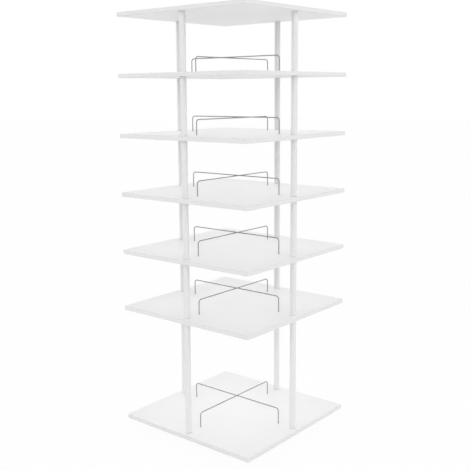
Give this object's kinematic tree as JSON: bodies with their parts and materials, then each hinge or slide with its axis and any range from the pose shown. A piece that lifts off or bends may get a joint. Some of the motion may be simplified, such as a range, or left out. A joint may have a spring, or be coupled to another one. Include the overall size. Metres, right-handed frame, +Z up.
{
  "type": "rotating shoe tower",
  "caption": "Free-standing tower of square boards on round posts at the middle of each side, with crossed wire dividers on the boards, turning on a ball swivel over a round foot board.",
  "frame": {"origin": "on the floor, under the middle of the tower, on its turning axis", "axes": "+Z up, +X to the right and -Y to the front; the boards' sides lie along X and Y"},
  "size_m": [0.48, 0.48, 1.256],
  "materials": {
    "white_board": "smooth satin white melamine",
    "white_steel": "satin white powder coat",
    "bright_wire": "bright plated steel wire",
    "zinc_steel": "zinc plated",
    "ball_steel": "polished balls in a plain steel cage",
    "dark_rubber": "matt black"
  },
  "bodies": {
    "base": {"foot_board": "white_board", "swivel_lower_plate": "zinc_steel", "rubber_foot_1": "dark_rubber", "rubber_foot_2": "dark_rubber", "rubber_foot_3": "dark_rubber", "rubber_foot_4": "dark_rubber"},
    "ball_cage": {"swivel_ball_cage": "ball_steel"},
    "tower": {"base_board": "white_board", "shelf_board_1": "white_board", "shelf_board_2": "white_board", "shelf_board_3": "white_board", "shelf_board_4": "white_board", "shelf_board_5": "white_board", "top_board": "white_board", "boot_post_front": "white_steel", "boot_post_right": "white_steel", "boot_post_back": "white_steel", "boot_post_left": "white_steel", "shoe_post_1_front": "white_steel", "shoe_post_1_right": "white_steel", "shoe_post_1_back": "white_steel", "shoe_post_1_left": "white_steel", "shoe_post_2_front": "white_steel", "shoe_post_2_right": "white_steel", "shoe_post_2_back": "white_steel", "shoe_post_2_left": "white_steel", "shoe_post_3_front": "white_steel", "shoe_post_3_right": "white_steel", "shoe_post_3_back": "white_steel", "shoe_post_3_left": "white_steel", "shoe_post_4_front": "white_steel", "shoe_post_4_right": "white_steel", "shoe_post_4_back": "white_steel", "shoe_post_4_left": "white_steel", "shoe_post_5_front": "white_steel", "shoe_post_5_right": "white_steel", "shoe_post_5_back": "white_steel", "shoe_post_5_left": "white_steel", "top_bolt_front": "zinc_steel", "top_bolt_right": "zinc_steel", "top_bolt_back": "zinc_steel", "top_bolt_left": "zinc_steel", "base_bolt_front": "zinc_steel", "base_bolt_right": "zinc_steel", "base_bolt_back": "zinc_steel", "base_bolt_left": "zinc_steel", "divider_0_left_right": "bright_wire", "divider_0_front_back": "bright_wire", "divider_1_left_right": "bright_wire", "divider_1_front_back": "bright_wire", "divider_2_left_right": "bright_wire", "divider_2_front_back": "bright_wire", "divider_3_left_right": "bright_wire", "divider_3_front_back": "bright_wire", "divider_4_left_right": "bright_wire", "divider_4_front_back": "bright_wire", "divider_5_left_right": "bright_wire", "divider_5_front_back": "bright_wire", "swivel_upper_plate": "zinc_steel"}
  },
  "joints": [
    {"name": "tower_spin", "type": "hinge", "parent": "base", "child": "tower", "pos_m": [0, 0, 0.026], "axis": [0, 0, 1], "continuous": true},
    {"name": "cage_spin", "type": "hinge", "parent": "base", "child": "ball_cage", "pos_m": [0, 0, 0.02115], "axis": [0, 0, 1], "continuous": true}
  ],
  "couplings": [
    {"joint": "cage_spin", "follows": "tower_spin", "ratio": 0.5}
  ]
}
